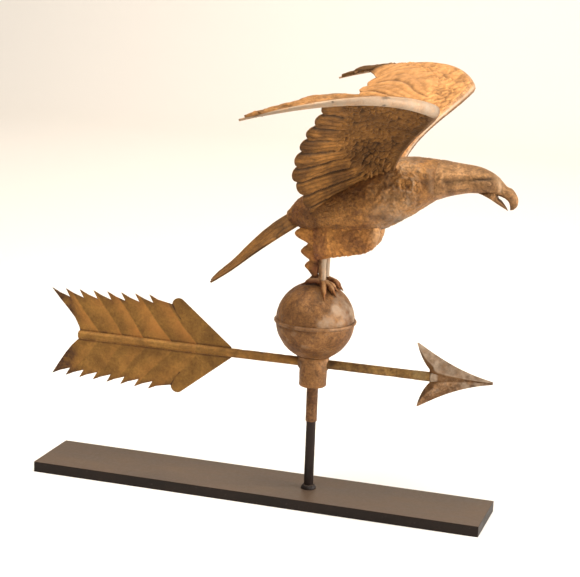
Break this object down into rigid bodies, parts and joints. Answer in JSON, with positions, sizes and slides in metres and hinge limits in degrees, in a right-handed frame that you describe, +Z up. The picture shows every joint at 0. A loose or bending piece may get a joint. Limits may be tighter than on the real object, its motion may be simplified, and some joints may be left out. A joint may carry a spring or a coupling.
{
  "type": "weather vane",
  "caption": "Moulded copper eagle with raised wings on a banded ball above a feathered arrow, turning freely on a steel post welded to a flat rectangular base.",
  "frame": {"origin": "on the underside of the base plate, straight below the post's axis", "axes": "+X the way the arrow and the eagle point, +Z up along the post"},
  "size_m": [0.6319, 0.4857, 0.5694],
  "materials": {
    "black_painted_steel": "satin black-brown paint",
    "weathered_copper": "ochre and rust-brown weathered copper with traces of gilding",
    "worn_copper": "grey-brown rubbed copper with solder",
    "fletching_copper": "olive-brown weathered sheet copper with orange bands",
    "brown_sleeve": "dull dark brown tube",
    "bearing_brass": "plain bearing metal"
  },
  "bodies": {
    "stand": {"base_plate": "black_painted_steel", "post": "black_painted_steel", "post_weld": "black_painted_steel"},
    "vane": {"spindle_sleeve": "brown_sleeve", "pivot_plug": "bearing_brass", "collar": "weathered_copper", "ball_lower": "weathered_copper", "ball_upper": "weathered_copper", "ball_bead": "weathered_copper", "arrow_shaft_front": "weathered_copper", "arrow_shaft_rear": "weathered_copper", "fletch_upper": "fletching_copper", "fletch_lower": "fletching_copper", "arrow_head": "worn_copper", "body_left": "weathered_copper", "body_right": "weathered_copper", "head": "weathered_copper", "lower_beak": "weathered_copper", "tail": "weathered_copper", "wing_left": "weathered_copper", "wing_right": "weathered_copper", "wing_edge_left": "worn_copper", "wing_edge_right": "worn_copper", "thigh_left": "weathered_copper", "thigh_right": "weathered_copper", "leg_fringe_left": "weathered_copper", "leg_fringe_right": "weathered_copper", "shank_left": "worn_copper", "shank_right": "worn_copper", "foot_left": "weathered_copper", "foot_right": "weathered_copper"}
  },
  "joints": [
    {"name": "vane_spin", "type": "hinge", "parent": "stand", "child": "vane", "pos_m": [0, 0, 0.2], "axis": [0, 0, 1], "continuous": true}
  ]
}
